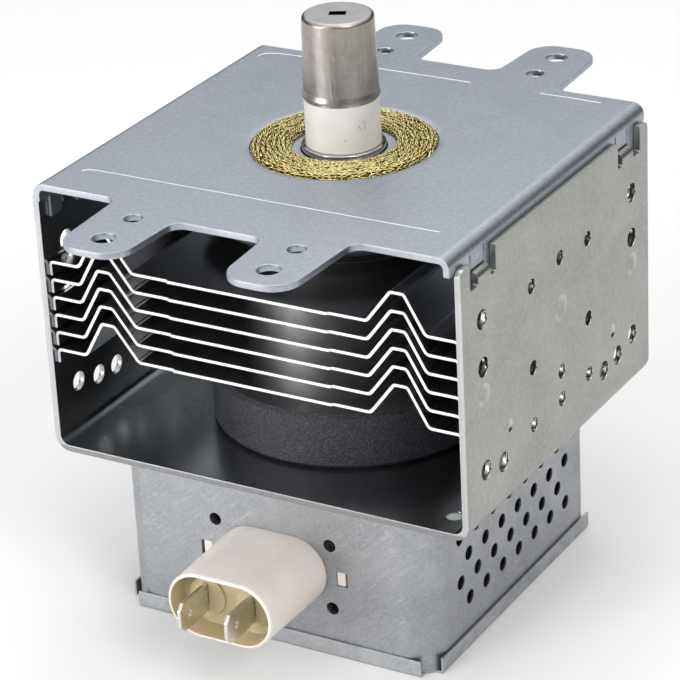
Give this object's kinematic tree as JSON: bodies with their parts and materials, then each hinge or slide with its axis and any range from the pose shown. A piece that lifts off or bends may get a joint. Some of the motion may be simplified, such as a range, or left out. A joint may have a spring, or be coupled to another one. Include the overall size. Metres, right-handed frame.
{
  "type": "microwave oven magnetron",
  "caption": "Microwave tube package: antenna above an eared mounting plate, finned anode between ring magnets in a folded yoke, filter box below with a two-blade connector.",
  "frame": {"origin": "antenna axis on the mounting face of the plate", "axes": "+Z along the antenna, -Y towards the power connector, +X to the right seen from the connector"},
  "size_m": [0.095, 0.132, 0.1229],
  "materials": {
    "yoke_steel": "galvanised, satin, warm grey",
    "plate_steel": "galvanised, satin, blue grey",
    "box_steel": "drawn, faint die marks",
    "gasket_brass": "knitted wire",
    "cap_nickel": "nickel plated, brushed",
    "seal_steel": "bright",
    "copper": "bright copper",
    "anode_metal": "plated, bright",
    "white_ceramic": "fired, matt",
    "tan_ceramic": "fired, matt",
    "ferrite": "sintered, charcoal",
    "tungsten": "dull grey",
    "fin_aluminium": "rolled sheet, bright sheared edges",
    "cream_plastic": "moulded, slightly glossy",
    "tinned_brass": "tin plated",
    "enamelled_wire": "enamelled copper"
  },
  "bodies": {
    "root": {"yoke_frame": "yoke_steel", "mounting_plate": "plate_steel", "rf_gasket": "gasket_brass", "antenna_cap": "cap_nickel", "exhaust_cup": "seal_steel", "exhaust_tube": "copper", "antenna_lead": "copper", "output_ceramic": "white_ceramic", "output_seal_cup": "seal_steel", "output_magnet": "ferrite", "output_pole_piece": "seal_steel", "anode_cylinder": "anode_metal", "anode_vanes": "copper", "inner_straps": "copper", "outer_straps": "copper", "filament": "tungsten", "upper_end_hat": "tungsten", "lower_end_hat": "tungsten", "centre_lead": "tungsten", "side_lead": "tungsten", "input_pole_piece": "seal_steel", "input_seal_cup": "seal_steel", "stem_ceramic": "white_ceramic", "stem_terminal_left": "seal_steel", "stem_terminal_right": "seal_steel", "input_magnet": "ferrite", "filter_box": "box_steel", "filter_lid": "box_steel", "connector_housing": "cream_plastic", "blade_terminal_left": "tinned_brass", "blade_terminal_right": "tinned_brass", "capacitor_ground_plate": "box_steel", "capacitor_ceramic": "tan_ceramic", "choke_coil_left": "enamelled_wire", "choke_coil_right": "enamelled_wire", "choke_core_left": "ferrite", "choke_core_right": "ferrite", "cooling_fin_1": "fin_aluminium", "cooling_fin_2": "fin_aluminium", "cooling_fin_3": "fin_aluminium", "cooling_fin_4": "fin_aluminium", "cooling_fin_5": "fin_aluminium", "cooling_fin_6": "fin_aluminium"}
  },
  "joints": []
}
